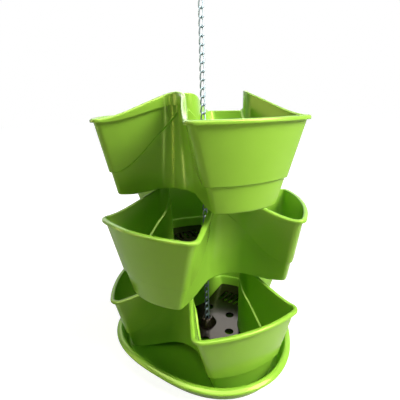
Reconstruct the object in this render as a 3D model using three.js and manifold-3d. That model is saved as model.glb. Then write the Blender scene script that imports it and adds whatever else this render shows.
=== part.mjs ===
// Vertical planter tower: three clover-shaped pots stacked over a saucer and threaded on a chain.
// Millimetres, +Z up. The origin is the middle of the saucer's underside, on the chain's axis.
import * as THREE from 'three';
import { mergeVertices } from 'three/addons/utils/BufferGeometryUtils.js';
import Module from 'manifold-3d';

const wasm = await Module();
wasm.setup();

// Fits
const seatGap = 0.3;            // between pieces that touch
const cutOverrun = 4;           // how far a cutter passes the face that it cuts
const weldDepth = 0.5;          // how far the limbs of one piece reach into each other
const mergeTolerance = 0.0002;  // corners nearer than this are one

// Stack
const tierCount = 3;
const lobeCount = 3;

// Pot plan at the foot and at the lip, along and across one lobe
const footCornerReach = 114.5;
const footHalfWidth = 42;
const lipCornerReach = 124.5;
const lipHalfWidth = 73;
const footFrontBow = 10;        // how far the middle of a lobe's front stands past its corners
const lipFrontBow = 13;
const lobeCornerRadius = 6.5;
const footValleyReach = 52;     // from the axis to the wall between two lobes
const crestValleyReach = 53.2;
const footValleyRadius = 50;
const crestValleyRadius = 26;

// Pot heights over the plane of the feet
const lipHeight = 104;
const crestHeight = 133.2;
const frontStepHeight = 34;
const valleyStepHeight = 108.9;
const raisedFloorHeight = 8.3;

// Pot walls
const wallThickness = 2.2;
const floorThickness = 2;
const footRound = 3;
const stepDepth = 2.7;          // how far the upper wall stands proud of the lower one
const stepRamp = 1.4;
const lipReach = 6.8;           // from the lower wall's face to the lip's edge
const lipThickness = 2.4;
const lipRound = 1.3;
const skirtThickness = 1.8;
const frontSkirtDepth = 4.8;
const valleySkirtDepth = 16.2;
const footPocketReach = 92;     // from the axis to the step down into a lobe's foot
const footPocketRamp = 4;
const floorShelf = 4;           // least flat floor between a wall and the raised middle
const potHoleRadius = 8;

// Rise of the lip, the step and the foot's arch along a side wall and round the valley
const sideShare = 0.74;         // part of that way which is the side wall
const lipRiseStartShare = 0.32;
const lipRiseEndShare = 1.02;
const crestRoundShare = 0.19;   // how much of the lip's rise the crest's rounding takes
const stepRiseStartShare = 0.23;
const stepRiseEndShare = 1.49;
const skirtShare = 0.93;        // part of the way along which the skirt gets deeper
const archStartShare = 0.1;
const archEndShare = 0.85;

// Saucer
const saucerMargin = 15.5;      // from the reach of the pots' feet to its mean radius
const saucerCornerBow = 9;      // half the difference between its corners and its sides
const saucerHeight = 27;
const saucerFloorThickness = 2;
const saucerWallThickness = 2.2;
const saucerFlare = 8;          // how far the wall leans out from floor to lip
const saucerRound = 3;
const saucerLipWidth = 8;
const saucerLipDrop = 6.5;
const saucerLipRound = 2.2;
const bossRadius = 19;
const bossDraft = 2.5;
const bossHoleRadius = 5.6;

// Watering insert
const insertPlateHeight = 20;   // top of the plate over the plane of the feet
const insertPlateThickness = 2;
const insertClearance = 1;
const coneHeight = 11;
const coneFootRadius = 15.6;
const coneTopRadius = 8.6;
const coneWall = 2;
const chainHoleRadius = 5.7;
const drainHoleRadius = 7;
const drainHoleReach = 42;
const drainHoleCount = 6;
const slotStart = 67;
const slotEnd = 97;
const slotPitch = 10;
const slotWidth = 6;
const slotCount = 5;
const insertLegRadius = 4;
const insertLegReach = 105;

// Chain of twisted links, its anchor pin and its hook
const wireDiameter = 2;
const linkInnerLength = 11;
const linkInnerWidth = 4;
const linkTwist = Math.PI / 2;
const linkBowCount = 2;
const linkCount = 47;
const pinDiameter = 3;
const pinLength = 24;
const hookWireDiameter = 3;
const hookLowerRadius = 5;
const hookUpperRadius = 9;
const hookTipLength = 4;
const hookStraightLength = 14;

// Mesh steps
const frontSteps = 2;
const cornerSteps = 2;
const sideSteps = 3;
const valleySteps = 3;
const halfLobeSteps = frontSteps + cornerSteps + sideSteps + valleySteps;
const saucerSteps = 42;
const coneSteps = 12;
const holeSteps = 8;
const legSteps = 6;
const bowSteps = 3;
const wireSides = 4;
const hookSides = 6;
const hookSteps = 7;

// Places that follow from the sizes
const saucerMeanRadius = footCornerReach + footFrontBow + saucerMargin;
const tierPitch = crestHeight + seatGap - raisedFloorHeight;
const bottomTierHeight = saucerFloorThickness + seatGap;
const bossTop = bottomTierHeight + raisedFloorHeight - seatGap;
const linkPitch = linkInnerLength - seatGap;
const pinHeight = bossTop - saucerFloorThickness - seatGap - pinDiameter / 2;
const firstLinkHeight = pinHeight - pinDiameter / 2 - seatGap + linkInnerLength / 2;
const lastLinkHeight = firstLinkHeight + (linkCount - 1) * linkPitch;

// Finishes
const potFinish = { color: 0x8cc63a, roughness: 0.28, metalness: 0 };
const insertFinish = { color: 0x16120f, roughness: 0.22, metalness: 0 };
const steelFinish = { color: 0xb9c4c2, roughness: 0.35, metalness: 1 };

function mix(from, to, share) {
  return from + (to - from) * share;
}

// Cubic rise from 0 to 1 with the given slopes at its two ends.
function rise(share, startSlope, endSlope) {
  const s = Math.min(1, Math.max(0, share));
  const start = s * (1 - s) * (1 - s) * startSlope;
  const end = s * s * (s - 1) * endSlope;
  return start + s * s * (3 - 2 * s) + end;
}

// A closed solid from rings of points: each ring goes once round the axis, and the rings
// follow the section from the underside out, over the edge and back to where they began.
function ringSolid(rings) {
  const around = rings[0].length;
  const positions = rings.flat(2);
  const index = [];
  for (let r = 0; r < rings.length; r += 1) {
    const next = (r + 1) % rings.length;
    for (let i = 0; i < around; i += 1) {
      const j = (i + 1) % around;
      const a = r * around + i;
      const b = r * around + j;
      const c = next * around + j;
      const d = next * around + i;
      index.push(a, b, c, a, c, d);
    }
  }
  const geometry = new THREE.BufferGeometry();
  geometry.setAttribute('position', new THREE.Float32BufferAttribute(positions, 3));
  geometry.setIndex(index);
  return geometry;
}

// Solid modelling helpers
function toManifold(source) {
  let geometry = source.clone();
  geometry.deleteAttribute('normal');
  geometry.deleteAttribute('uv');
  geometry = mergeVertices(geometry, mergeTolerance);
  const mesh = new wasm.Mesh({
    numProp: 3,
    vertProperties: new Float32Array(geometry.attributes.position.array),
    triVerts: new Uint32Array(geometry.index.array),
  });
  return new wasm.Manifold(mesh);
}

function fromManifold(solid) {
  const mesh = solid.getMesh();
  const geometry = new THREE.BufferGeometry();
  geometry.setAttribute('position', new THREE.BufferAttribute(mesh.vertProperties, 3));
  geometry.setIndex(new THREE.BufferAttribute(mesh.triVerts, 1));
  return geometry;
}

// Half a lobe's plan at one height: points and outward normals from the middle of the lobe's
// front, round its corner and along its side wall, to the middle of the valley.
function halfLobePlan(height) {
  const share = height / lipHeight;
  const crest = height / crestHeight;
  const corner = new THREE.Vector2(
    mix(footCornerReach, lipCornerReach, share),
    mix(footHalfWidth, lipHalfWidth, share),
  );
  const bow = mix(footFrontBow, lipFrontBow, share);
  const valleyReach = mix(footValleyReach, crestValleyReach, crest);
  const valleyRadius = mix(footValleyRadius, crestValleyRadius, crest);

  // The front is an arc through both corners.
  const frontRadius = (corner.y * corner.y + bow * bow) / (2 * bow);
  const frontCentre = new THREE.Vector2(corner.x + bow - frontRadius, 0);

  // The valley is an arc that bulges towards the axis, and the side wall is its tangent.
  const valleyAngle = Math.PI / lobeCount;
  const valleyDirection = new THREE.Vector2(Math.cos(valleyAngle), Math.sin(valleyAngle));
  const valleyCentre = valleyDirection.clone().multiplyScalar(valleyReach + valleyRadius);
  const toCentre = valleyCentre.clone().sub(corner);
  const distance = toCentre.length();
  const sideAngle = toCentre.angle() + Math.asin(valleyRadius / distance);
  const side = new THREE.Vector2(Math.cos(sideAngle), Math.sin(sideAngle));
  const sideNormal = new THREE.Vector2(side.y, -side.x);
  const sideLength = Math.sqrt(distance * distance - valleyRadius * valleyRadius);
  const sideEnd = corner.clone().addScaledVector(side, sideLength);

  // The corner is rounded between the front arc and the side wall.
  const inset = corner.clone().addScaledVector(sideNormal, -lobeCornerRadius);
  const fromFront = inset.clone().sub(frontCentre);
  const along = fromFront.dot(side);
  const reach = frontRadius - lobeCornerRadius;
  const shift = -along - Math.sqrt(along * along - fromFront.lengthSq() + reach * reach);
  const shiftBack = -along + Math.sqrt(along * along - fromFront.lengthSq() + reach * reach);
  const roundCentre = inset.clone().addScaledVector(side, shift > 0 ? shift : shiftBack);
  const roundStart = roundCentre.clone().sub(frontCentre).angle();
  const roundEnd = sideNormal.angle();

  const stations = [];
  const addArc = (centre, radius, from, to, steps, inwards) => {
    for (let i = stations.length === 0 ? 0 : 1; i <= steps; i += 1) {
      const angle = mix(from, to, i / steps);
      const ray = new THREE.Vector2(Math.cos(angle), Math.sin(angle));
      const point = centre.clone().addScaledVector(ray, radius);
      stations.push({ point, normal: ray.multiplyScalar(inwards ? -1 : 1) });
    }
  };
  addArc(frontCentre, frontRadius, 0, roundStart, frontSteps, false);
  addArc(roundCentre, lobeCornerRadius, roundStart, roundEnd, cornerSteps, false);
  const sideStart = roundCentre.clone().addScaledVector(sideNormal, lobeCornerRadius);
  for (let i = 1; i <= sideSteps; i += 1) {
    const point = sideStart.clone().lerp(sideEnd, i / sideSteps);
    stations.push({ point, normal: sideNormal.clone() });
  }
  const arcStart = sideNormal.angle() + Math.PI;
  const arcEnd = valleyAngle + Math.PI;
  addArc(valleyCentre, valleyRadius, arcStart, arcEnd, valleySteps, true);
  return stations;
}

// How far a station lies along the way from a lobe's corner to the middle of the valley, 0 to 1.
function wayShare(station) {
  const start = frontSteps + cornerSteps;
  if (station <= start) {
    return 0;
  }
  if (station <= start + sideSteps) {
    return sideShare * (station - start) / sideSteps;
  }
  return mix(sideShare, 1, (station - start - sideSteps) / valleySteps);
}

// Rounds the start of a rise that begins at 0 with a slope, and keeps its ends at 0 and 1.
function easeStart(share, roundShare) {
  const whole = Math.hypot(1, roundShare) - roundShare;
  return (Math.hypot(share, roundShare) - roundShare) / whole;
}

function lipHeightAt(way) {
  const fall = 1 - rise(way, lipRiseStartShare, lipRiseEndShare);
  return mix(crestHeight, lipHeight, easeStart(fall, crestRoundShare));
}

function stepHeightAt(way) {
  const share = rise(way, stepRiseStartShare, stepRiseEndShare);
  return mix(frontStepHeight, valleyStepHeight, share);
}

function footHeightAt(way) {
  const share = (way - archStartShare) / (archEndShare - archStartShare);
  return raisedFloorHeight * rise(share, 0, 0);
}

function skirtDepthAt(way) {
  return mix(frontSkirtDepth, valleySkirtDepth, Math.min(1, way / skirtShare));
}

// One ring round the whole pot. level(way) gives the height of the ring and how far it lies
// outside the lower wall's face; place(point) may move the point in plan.
function potRing(level, place = (point) => point) {
  const half = [];
  for (let k = 0; k <= halfLobeSteps; k += 1) {
    const { height, offset } = level(wayShare(k));
    const { point, normal } = halfLobePlan(height)[k];
    const moved = place(point.clone().addScaledVector(normal, offset));
    half.push(new THREE.Vector3(moved.x, moved.y, height));
  }
  const ring = [];
  for (let lobe = 0; lobe < lobeCount; lobe += 1) {
    const lobeAngle = 2 * Math.PI * lobe / lobeCount - Math.PI / 2;
    const add = (point, side, angle) => {
      const turned = new THREE.Vector2(point.x, side * point.y).rotateAround(new THREE.Vector2(), angle);
      ring.push([turned.x, turned.y, point.z]);
    };
    for (let k = 0; k <= halfLobeSteps; k += 1) {
      add(half[k], 1, lobeAngle);
    }
    for (let k = halfLobeSteps - 1; k > 0; k -= 1) {
      add(half[k], -1, lobeAngle + 2 * Math.PI / lobeCount);
    }
  }
  return ring;
}

// A ring of the floor: the foot's inner edge drawn in towards the axis, to a set reach.
function floorRing(heightAt, reach, shelf) {
  const edge = wallThickness + footRound;
  const ring = potRing((way) => ({ height: footHeightAt(way), offset: -edge }), (point) => {
    const length = point.length();
    return point.multiplyScalar(Math.min(reach, length - shelf) / length);
  });
  const heights = potRing((way) => ({ height: heightAt(way), offset: 0 }));
  return ring.map((point, i) => [point[0], point[1], heights[i][2]]);
}

function roundRing(radius, height, steps, start = 0) {
  return Array.from({ length: steps }, (_, i) => {
    const angle = start + 2 * Math.PI * i / steps;
    return [radius * Math.cos(angle), radius * Math.sin(angle), height];
  });
}

// A pot: thin walls of even thickness, a proud upper wall that ends in a sweeping step, an
// overhanging lip with a skirt, feet under the lobes and a raised middle that seats on the
// crests of the pot below.
function potGeometry() {
  const foot = (way) => footHeightAt(way);
  const floorTop = (way) => footHeightAt(way) + floorThickness;
  const raisedTop = () => raisedFloorHeight + floorThickness;
  const around = 2 * halfLobeSteps * lobeCount;
  const wallStations = [
    (way) => ({ height: foot(way), offset: -footRound }),
    (way) => ({ height: foot(way) + footRound, offset: 0 }),
    (way) => ({ height: stepHeightAt(way) - stepRamp, offset: 0 }),
    (way) => ({ height: stepHeightAt(way), offset: stepDepth }),
    (way) => ({ height: lipHeightAt(way) - lipThickness, offset: stepDepth }),
    (way) => ({ height: lipHeightAt(way) - lipThickness, offset: lipReach - skirtThickness }),
    (way) => ({ height: lipHeightAt(way) - skirtDepthAt(way), offset: lipReach - skirtThickness }),
    (way) => ({ height: lipHeightAt(way) - skirtDepthAt(way), offset: lipReach }),
    (way) => ({ height: lipHeightAt(way) - lipRound, offset: lipReach }),
    (way) => ({ height: lipHeightAt(way), offset: lipReach - lipRound }),
    (way) => ({ height: lipHeightAt(way), offset: stepDepth - wallThickness + lipRound }),
    (way) => ({ height: lipHeightAt(way) - lipRound, offset: stepDepth - wallThickness }),
    (way) => ({ height: stepHeightAt(way) + stepRamp, offset: stepDepth - wallThickness }),
    (way) => ({ height: stepHeightAt(way), offset: -wallThickness }),
    (way) => ({ height: floorTop(way) + footRound, offset: -wallThickness }),
    (way) => ({ height: floorTop(way), offset: -wallThickness - footRound / 2 }),
  ];
  const underShift = floorThickness / 2;
  const pocketTop = footPocketReach - footPocketRamp;
  const rings = [
    roundRing(potHoleRadius, raisedFloorHeight, around, -Math.PI / 2),
    floorRing(() => raisedFloorHeight, pocketTop - underShift, floorShelf + footPocketRamp + underShift),
    floorRing(foot, footPocketReach - underShift, floorShelf + underShift),
    ...wallStations.map((level) => potRing(level)),
    floorRing(floorTop, footPocketReach, floorShelf),
    floorRing(raisedTop, pocketTop, floorShelf + footPocketRamp),
    roundRing(potHoleRadius, raisedTop(), around, -Math.PI / 2),
  ];
  return ringSolid(rings);
}

// The saucer's rounded triangle, with its corners under the bottom pot's lobes.
function saucerRing(inset, height) {
  return Array.from({ length: saucerSteps }, (_, i) => {
    const angle = 2 * Math.PI * i / saucerSteps - Math.PI / 2;
    const fromLobe = lobeCount * (angle + Math.PI / 2);
    const radius = saucerMeanRadius + saucerCornerBow * Math.cos(fromLobe) - inset;
    return [radius * Math.cos(angle), radius * Math.sin(angle), height];
  });
}

function saucerGeometry() {
  const wallInset = saucerLipWidth - saucerWallThickness / 2;
  const floorInset = wallInset + saucerFlare;
  const lipUnderside = saucerHeight - saucerLipDrop;
  const start = -Math.PI / 2;
  const round = (radius, height) => roundRing(radius, height, saucerSteps, start);
  return ringSolid([
    round(bossHoleRadius, bossTop - saucerFloorThickness),
    round(bossRadius - saucerWallThickness, bossTop - saucerFloorThickness),
    round(bossRadius + bossDraft - saucerWallThickness, 0),
    saucerRing(floorInset + saucerRound, 0),
    saucerRing(floorInset, saucerRound),
    saucerRing(wallInset, lipUnderside + saucerLipRound),
    saucerRing(saucerLipRound, lipUnderside),
    saucerRing(0, lipUnderside + saucerLipRound),
    saucerRing(0, saucerHeight - saucerLipRound),
    saucerRing(saucerLipRound, saucerHeight),
    saucerRing(saucerLipWidth - saucerLipRound, saucerHeight),
    saucerRing(wallInset + saucerWallThickness, saucerHeight - saucerLipRound),
    saucerRing(floorInset + saucerWallThickness, saucerRound + saucerFloorThickness),
    saucerRing(floorInset + saucerWallThickness + saucerRound, saucerFloorThickness),
    round(bossRadius + bossDraft, saucerFloorThickness),
    round(bossRadius, bossTop),
    round(bossHoleRadius, bossTop),
  ]);
}

// Flat extrusion of a plan between two heights.
function plateSolid(outline, bottom, top) {
  const shape = new THREE.Shape(outline);
  const geometry = new THREE.ExtrudeGeometry(shape, { depth: top - bottom, bevelEnabled: false });
  geometry.translate(0, 0, bottom);
  return toManifold(geometry);
}

function cylinderSolid(radius, bottom, top, steps, x, y) {
  const geometry = new THREE.CylinderGeometry(radius, radius, top - bottom, steps);
  geometry.rotateX(Math.PI / 2);
  geometry.translate(x, y, (top + bottom) / 2);
  return toManifold(geometry);
}

function onCircle(reach, angle) {
  return [reach * Math.cos(angle), reach * Math.sin(angle)];
}

// The insert: a perforated plate that keeps soil off the pot's floor, with a hollow cone
// round the chain, a slotted grating in each lobe and three legs in the pot's feet.
function insertGeometry() {
  const plateTop = insertPlateHeight;
  const plateBottom = plateTop - insertPlateThickness;
  const rim = potRing(() => ({ height: plateBottom, offset: -wallThickness - insertClearance }));
  let solid = plateSolid(rim.map(([x, y]) => new THREE.Vector2(x, y)), plateBottom, plateTop);

  const cutBottom = plateBottom - cutOverrun;
  const cutTop = plateTop + cutOverrun;
  const innerFoot = coneFootRadius - coneWall;
  solid = solid.subtract(cylinderSolid(innerFoot, cutBottom, cutTop, coneSteps, 0, 0));
  for (let i = 0; i < drainHoleCount; i += 1) {
    const [x, y] = onCircle(drainHoleReach, 2 * Math.PI * i / drainHoleCount);
    solid = solid.subtract(cylinderSolid(drainHoleRadius, cutBottom, cutTop, holeSteps, x, y));
  }
  for (let lobe = 0; lobe < lobeCount; lobe += 1) {
    const angle = 2 * Math.PI * lobe / lobeCount - Math.PI / 2;
    for (let i = 0; i < slotCount; i += 1) {
      const across = (i - (slotCount - 1) / 2) * slotPitch;
      const slot = new THREE.BoxGeometry(slotEnd - slotStart, slotWidth, cutTop - cutBottom);
      slot.translate((slotStart + slotEnd) / 2, across, (cutTop + cutBottom) / 2);
      slot.rotateZ(angle);
      solid = solid.subtract(toManifold(slot));
    }
  }

  // The cone's shell runs on below the plate as a collar that stands on the raised floor.
  const collarBottom = raisedFloorHeight + floorThickness + seatGap;
  const coneTop = plateTop + coneHeight;
  const profile = [
    [coneFootRadius, collarBottom],
    [coneFootRadius, plateTop],
    [coneTopRadius, coneTop],
    [chainHoleRadius, coneTop],
    [chainHoleRadius, coneTop - coneWall],
    [coneTopRadius - coneWall / 2, coneTop - coneWall],
    [innerFoot - weldDepth, plateTop],
    [innerFoot - weldDepth, collarBottom],
    [coneFootRadius, collarBottom],
  ];
  const cone = new THREE.LatheGeometry(profile.map(([r, z]) => new THREE.Vector2(r, z)), coneSteps);
  cone.rotateX(Math.PI / 2);
  cone.rotateZ(Math.PI / 2);
  solid = solid.add(toManifold(cone));

  const legBottom = floorThickness + seatGap;
  for (let lobe = 0; lobe < lobeCount; lobe += 1) {
    const [x, y] = onCircle(insertLegReach, 2 * Math.PI * lobe / lobeCount - Math.PI / 2);
    solid = solid.add(cylinderSolid(insertLegRadius, legBottom, plateBottom + weldDepth, legSteps, x, y));
  }
  return fromManifold(solid);
}

// A round bar swept along points. guide(i) is a direction off the path that the section keeps
// to, so that a closed loop meets itself without a twist.
function sweptBar(points, guide, radius, sides, closed) {
  const count = points.length;
  const rings = points.map((point, i) => {
    const before = points[closed ? (i + count - 1) % count : Math.max(0, i - 1)];
    const after = points[closed ? (i + 1) % count : Math.min(count - 1, i + 1)];
    const tangent = after.clone().sub(before).normalize();
    const across = guide(i).clone();
    across.addScaledVector(tangent, -across.dot(tangent)).normalize();
    const up = new THREE.Vector3().crossVectors(tangent, across);
    return Array.from({ length: sides }, (_, s) => {
      const angle = 2 * Math.PI * (s + 0.5) / sides;
      const place = point.clone();
      place.addScaledVector(across, radius * Math.cos(angle));
      place.addScaledVector(up, radius * Math.sin(angle));
      return place.toArray();
    });
  });
  if (closed) {
    return ringSolid(rings);
  }
  const positions = rings.flat(2);
  const index = [];
  for (let r = 0; r + 1 < count; r += 1) {
    for (let s = 0; s < sides; s += 1) {
      const a = r * sides + s;
      const b = r * sides + (s + 1) % sides;
      index.push(a, b, b + sides, a, b + sides, a + sides);
    }
  }
  const last = (count - 1) * sides;
  for (let s = 1; s + 1 < sides; s += 1) {
    index.push(0, s + 1, s, last, last + s, last + s + 1);
  }
  const geometry = new THREE.BufferGeometry();
  geometry.setAttribute('position', new THREE.Float32BufferAttribute(positions, 3));
  geometry.setIndex(index);
  return geometry;
}

// A chain link: an oval of wire turned through a quarter from its lower to its upper end, so
// that every link faces the same way.
function linkGeometry() {
  const wireRadius = wireDiameter / 2;
  const bowRadius = linkInnerWidth / 2 + wireRadius;
  const halfLength = linkInnerLength / 2 + wireRadius;
  const points = [];
  const guides = [];
  for (let bow = 0; bow < linkBowCount; bow += 1) {
    const bowHeight = bow === 0 ? halfLength - bowRadius : bowRadius - halfLength;
    for (let i = 0; i <= bowSteps; i += 1) {
      const angle = Math.PI * (bow + i / bowSteps);
      const x = bowRadius * Math.cos(angle);
      const z = bowHeight + bowRadius * Math.sin(angle);
      const turn = linkTwist * z / (2 * halfLength);
      points.push(new THREE.Vector3(x * Math.cos(turn), x * Math.sin(turn), z));
      guides.push(new THREE.Vector3(-Math.sin(turn), Math.cos(turn), 0));
    }
  }
  return sweptBar(points, (i) => guides[i], wireRadius, wireSides, true);
}

// The pin lies crosswise under the saucer's boss, through the lowest link, and takes the pull.
function pinGeometry() {
  const geometry = new THREE.CylinderGeometry(pinDiameter / 2, pinDiameter / 2, pinLength, holeSteps);
  const lowerTurn = -linkTwist / 2;
  geometry.rotateZ(lowerTurn);
  geometry.translate(0, 0, pinHeight);
  return geometry;
}

// The hook: an S of wire whose small bow holds the last link and whose large bow hangs up.
function hookGeometry() {
  const lowerCentre = lastLinkHeight + linkInnerLength / 2 - seatGap - hookWireDiameter / 2 + hookLowerRadius;
  const upperCentre = lowerCentre + hookStraightLength;
  const points = [];
  const arc = (x, z, radius, from, to) => {
    for (let i = 0; i <= hookSteps; i += 1) {
      const angle = mix(from, to, i / hookSteps);
      points.push(new THREE.Vector3(x + radius * Math.cos(angle), 0, z + radius * Math.sin(angle)));
    }
  };
  points.push(new THREE.Vector3(-hookLowerRadius, 0, lowerCentre + hookTipLength));
  arc(0, lowerCentre, hookLowerRadius, -Math.PI, 0);
  arc(hookLowerRadius - hookUpperRadius, upperCentre, hookUpperRadius, 0, Math.PI);
  points.push(new THREE.Vector3(hookLowerRadius - 2 * hookUpperRadius, 0, upperCentre - hookTipLength));
  const guide = new THREE.Vector3(0, 1, 0);
  const geometry = sweptBar(points, () => guide, hookWireDiameter / 2, hookSides, false);
  return geometry.rotateZ(linkTwist / 2 + Math.PI / 2);
}

const tower = new THREE.Group();

function addPiece(parent, name, geometry, finish) {
  const mesh = new THREE.Mesh(geometry, new THREE.MeshStandardMaterial(finish));
  mesh.name = name;
  parent.add(mesh);
  return mesh;
}

addPiece(tower, 'saucer', saucerGeometry(), potFinish);

const tierNames = ['bottom', 'middle', 'top'];
for (let tier = 0; tier < tierCount; tier += 1) {
  const stage = new THREE.Group();
  stage.position.z = bottomTierHeight + tier * tierPitch;
  stage.rotation.z = (tier % 2) * Math.PI / lobeCount;
  addPiece(stage, `${tierNames[tier]}_pot`, potGeometry(), potFinish);
  addPiece(stage, `${tierNames[tier]}_insert`, insertGeometry(), insertFinish);
  tower.add(stage);
}

addPiece(tower, 'anchor_pin', pinGeometry(), steelFinish);
for (let i = 0; i < linkCount; i += 1) {
  const number = String(i + 1).padStart(2, '0');
  const link = addPiece(tower, `chain_link_${number}`, linkGeometry(), steelFinish);
  link.position.z = firstLinkHeight + i * linkPitch;
}
addPiece(tower, 'hook', hookGeometry(), steelFinish);

export default tower;
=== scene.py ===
# %% [markdown]
# # A vertical planter tower, piece by piece
# Three clover-shaped pots stand in each other over a saucer, each one turned by a sixth of a turn,
# and a chain runs up through all of them to a hook. Every pot holds a dark perforated insert that
# keeps the soil above the drained water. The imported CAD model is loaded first. It is the frame: it
# says where each piece is, and every finer piece made here stays where its CAD node is.

# %% Load the frame
import math

import bpy
import numpy as np
from mathutils import Matrix, Vector


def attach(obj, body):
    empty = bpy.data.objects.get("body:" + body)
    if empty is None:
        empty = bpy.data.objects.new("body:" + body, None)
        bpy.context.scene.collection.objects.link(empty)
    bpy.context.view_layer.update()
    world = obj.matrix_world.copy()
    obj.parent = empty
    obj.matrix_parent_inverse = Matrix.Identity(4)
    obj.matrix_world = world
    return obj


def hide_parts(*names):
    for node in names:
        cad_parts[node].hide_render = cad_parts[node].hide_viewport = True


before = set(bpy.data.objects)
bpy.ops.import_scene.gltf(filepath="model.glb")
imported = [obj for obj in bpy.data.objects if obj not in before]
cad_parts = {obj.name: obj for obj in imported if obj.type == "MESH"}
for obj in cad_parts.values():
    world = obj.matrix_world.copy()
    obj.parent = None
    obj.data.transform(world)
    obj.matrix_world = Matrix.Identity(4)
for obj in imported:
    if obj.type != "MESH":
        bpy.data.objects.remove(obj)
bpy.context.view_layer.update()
MM = 0.001

# %% [markdown]
# ## The camera
# The photograph looks down on the tower from a little above its top pot, from close by, so the
# saucer is drawn smaller than the top pot. A camera fitted to the rims and the steps of the pots
# gives the distance, the heading and a wide lens. Heading is counted from +Y towards +X.

# %% Camera
SENSOR_WIDTH = 36.0
FOCAL_PIXELS = 329.44
IMAGE_PIXELS = 400
NEAREST_SEEN = 10
CAMERA_PLACE = Vector((-194.01, -423.01, 374.27)) * MM
heading, pitch, roll = (math.radians(a) for a in (23.749, -16.784, -1.415))

forward = Vector((
    math.sin(heading) * math.cos(pitch), math.cos(heading) * math.cos(pitch), math.sin(pitch)))
level_right = Vector((math.cos(heading), -math.sin(heading), 0))
level_up = level_right.cross(forward)
right = level_right * math.cos(roll) + level_up * math.sin(roll)
up = level_up * math.cos(roll) - level_right * math.sin(roll)
aim = Matrix((right, up, -forward)).transposed().to_4x4()

camera_data = bpy.data.cameras.new("camera")
camera_data.sensor_width = SENSOR_WIDTH
camera_data.lens = SENSOR_WIDTH * FOCAL_PIXELS / IMAGE_PIXELS
camera_data.clip_start = NEAREST_SEEN * MM
camera = bpy.data.objects.new("camera", camera_data)
camera.matrix_world = Matrix.Translation(CAMERA_PLACE) @ aim
bpy.context.scene.collection.objects.link(camera)
bpy.context.scene.camera = camera
print("camera lens, mm:", round(camera_data.lens, 2))

# %% [markdown]
# ## Helpers for materials
# Colours are written as the sRGB hex values that a paint program shows, and one function turns them
# to the linear values that the renderer works in. A second one adds a node, with its settings and
# with what feeds it, so that each material and each tree below reads as a short list.


# %% Colour and node helpers
def linear(hex_colour):
    """An sRGB colour such as "#8cc63a" as linear red, green, blue and alpha."""
    values = [int(hex_colour[i:i + 2], 16) / 255 for i in (1, 3, 5)]
    return tuple(v / 12.92 if v <= 0.04045 else ((v + 0.055) / 1.055) ** 2.4 for v in values) + (1.0,)


def add_node(tree, kind, inputs=None, **settings):
    """A new node. inputs feeds its sockets, by name or number.

    A socket takes a value, another node's output, or a node, which stands for its first output.
    """
    node = tree.nodes.new(kind)
    for name, value in settings.items():
        setattr(node, name, value)
    for name, value in (inputs or {}).items():
        if isinstance(value, bpy.types.Node):
            value = value.outputs[0]
        if isinstance(value, bpy.types.NodeSocket):
            tree.links.new(value, node.inputs[name])
        else:
            node.inputs[name].default_value = value
    return node


def new_material(name):
    """An empty material and the tree to fill."""
    made = bpy.data.materials.new(name)
    made.use_nodes = True
    made.node_tree.nodes.clear()
    return made, made.node_tree


# %% [markdown]
# ## Moulded plastic
# Pots and saucer are injection-moulded polypropylene, coloured through and polished in the mould.
# To the eye that is a clear gloss over a saturated colour, with very shallow waves where the thin
# wall shrank on cooling: they bend the reflections but can't be felt. They are too shallow to be
# worth faces of their own, so a bump turns the light instead. In the photograph what the plastic
# mirrors is tinged with its own colour, so the gloss is tinted. The grain that the mould leaves is
# too fine to show, so it is drawn coarser.

# %% Sizes in moulded plastic, in mm, and how far its gloss varies
TONE_DRIFT, MOULD_GRAIN = 60, 1.2
WAVE_DEPTH, GRAIN_DEPTH = 0.35, 0.02
GLOSS_SPREAD = 0.15


# %% Lime polypropylene
def moulded_plastic(name, colour, deep_colour, gloss_tint, roughness, wave_width):
    """Glossy moulded plastic: cooling waves in the bump, a faint tone drift and a broken gloss."""
    made, tree = new_material(name)
    place = add_node(tree, "ShaderNodeTexCoord").outputs["Object"]
    drift = add_node(tree, "ShaderNodeTexNoise", {
        "Vector": place, "Scale": 1 / (TONE_DRIFT * MM), "Detail": 2.0})
    tone = add_node(tree, "ShaderNodeMix", {
        "Factor": drift, "A": linear(deep_colour), "B": linear(colour)}, data_type="RGBA")
    waves = add_node(tree, "ShaderNodeTexNoise", {
        "Vector": place, "Scale": 1 / (wave_width * MM), "Detail": 1.0})
    grain = add_node(tree, "ShaderNodeTexNoise", {
        "Vector": place, "Scale": 1 / (MOULD_GRAIN * MM), "Detail": 2.0})
    gloss = add_node(tree, "ShaderNodeMapRange", {
        "Value": grain, "To Min": roughness * (1 - GLOSS_SPREAD), "To Max": roughness * (1 + GLOSS_SPREAD)})
    relief = add_node(tree, "ShaderNodeBump", {
        "Height": waves, "Strength": 0.35, "Distance": WAVE_DEPTH * MM})
    skin_grain = add_node(tree, "ShaderNodeBump", {
        "Height": grain, "Strength": 0.12, "Distance": GRAIN_DEPTH * MM, "Normal": relief})
    shader = add_node(tree, "ShaderNodeBsdfPrincipled", {
        "Base Color": tone.outputs["Result"], "Roughness": gloss, "IOR": 1.45,
        "Specular Tint": linear(gloss_tint), "Normal": skin_grain})
    add_node(tree, "ShaderNodeOutputMaterial", {"Surface": shader})
    return made


lime_polypropylene = moulded_plastic("lime_polypropylene", "#86bd3e", "#7eb538", "#e4f48c", 0.18, 22)
print("material:", lime_polypropylene.name)

# %% [markdown]
# The inserts are moulded from a brown-black plastic with the same polish. Dark plastic shows little
# but its reflections, so its gloss is what the eye sees: the plate mirrors the green walls and the
# pale room. The function above makes it too, with narrower waves.

# %% Brown-black polypropylene
brown_black_polypropylene = moulded_plastic(
    "brown_black_polypropylene", "#17120e", "#120e0b", "#c8b8a0", 0.16, 14)
print("material:", brown_black_polypropylene.name)

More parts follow.
